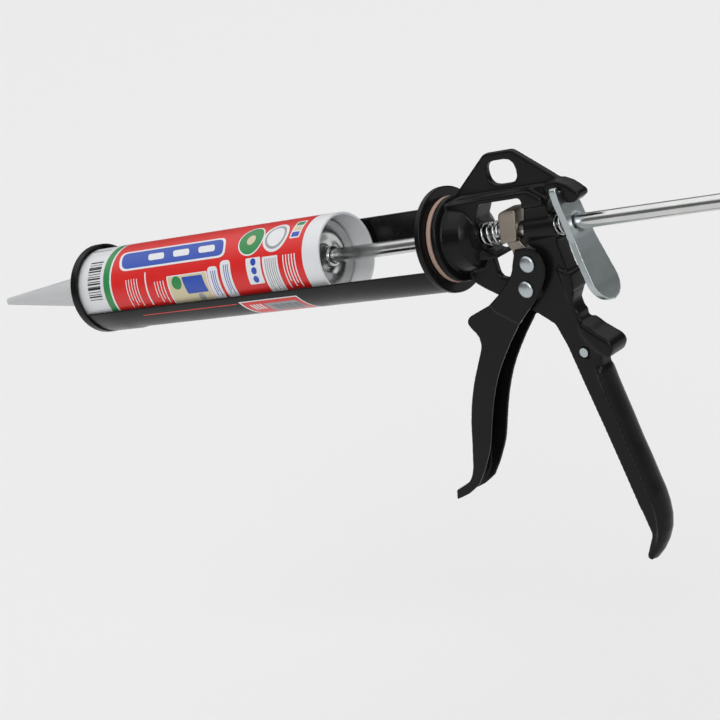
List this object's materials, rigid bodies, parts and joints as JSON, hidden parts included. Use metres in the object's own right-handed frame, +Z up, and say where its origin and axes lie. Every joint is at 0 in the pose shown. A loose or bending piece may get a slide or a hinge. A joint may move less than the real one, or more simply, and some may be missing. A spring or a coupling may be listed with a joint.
{
  "type": "caulking gun",
  "caption": "Hand-squeezed caulking gun with a swivelling open cradle, a smooth push rod, a release plate and a sealant cartridge in place.",
  "frame": {"origin": "centre of the hanging eye in the top of the body", "axes": "+X forward along the push rod towards the nozzle, +Y to the gun's left, +Z up, away from the handle"},
  "size_m": [0.6692, 0.0608, 0.2429],
  "materials": {
    "black_paint": "semi-gloss black paint",
    "zinc_plate": "bright zinc plate",
    "bright_steel": "bright pressed steel",
    "spring_steel": "drawn spring wire",
    "sintered_steel": "dull brown-grey sintered steel",
    "fibre": "vulcanised fibre",
    "cartridge_plastic": "satin white polyethylene with a printed sleeve",
    "nozzle_plastic": "satin translucent grey-white polyethylene"
  },
  "bodies": {
    "body": {"body_casting": "black_paint", "pivot_rivet": "zinc_plate", "handle_pin": "zinc_plate", "friction_washer": "fibre", "wave_washer": "spring_steel", "retaining_ring": "spring_steel", "return_spring": "spring_steel", "release_spring": "spring_steel"},
    "cradle": {"cradle_rear_cap": "black_paint", "cradle_arm_left": "black_paint", "cradle_arm_right": "black_paint", "cradle_front_ring": "black_paint", "cartridge_tube": "cartridge_plastic", "cartridge_nozzle": "nozzle_plastic"},
    "plunger": {"cartridge_plunger": "cartridge_plastic"},
    "rod": {"push_rod": "zinc_plate", "pressure_plate": "bright_steel", "rod_hub": "bright_steel", "rod_nut": "zinc_plate"},
    "trigger": {"trigger_lever": "black_paint", "drive_rivet": "zinc_plate"},
    "grip": {"grip_block": "sintered_steel"},
    "release": {"release_plate": "zinc_plate"}
  },
  "joints": [
    {"name": "trigger_squeeze", "type": "hinge", "parent": "body", "child": "trigger", "pos_m": [-0.0012, 0, -0.0653], "axis": [0, 1, 0], "range_deg": [0, 30], "stiffness_Nm_per_rad": 0.8, "springref_deg": -28.65},
    {"name": "grip_advance", "type": "slide", "parent": "body", "child": "grip", "axis": [1, 0, 0], "range_m": [0, 0.008], "deforming": ["return_spring"]},
    {"name": "rod_slide", "type": "slide", "parent": "body", "child": "rod", "axis": [1, 0, 0], "range_m": [-0.07, 0.155]},
    {"name": "release_tilt", "type": "hinge", "parent": "body", "child": "release", "pos_m": [-0.0378, 0, -0.0159], "axis": [0, -1, 0], "range_deg": [0, 8], "stiffness_Nm_per_rad": 0.5, "springref_deg": -17.19, "deforming": ["release_spring"]},
    {"name": "cradle_swivel", "type": "hinge", "parent": "body", "child": "cradle", "pos_m": [0.0535, 0, -0.0338], "axis": [1, 0, 0], "continuous": true},
    {"name": "plunger_slide", "type": "slide", "parent": "cradle", "child": "plunger", "axis": [1, 0, 0], "range_m": [0, 0.015]}
  ],
  "couplings": [
    {"joint": "grip_advance", "follows": "trigger_squeeze", "m_per_rad": 0.01482}
  ]
}
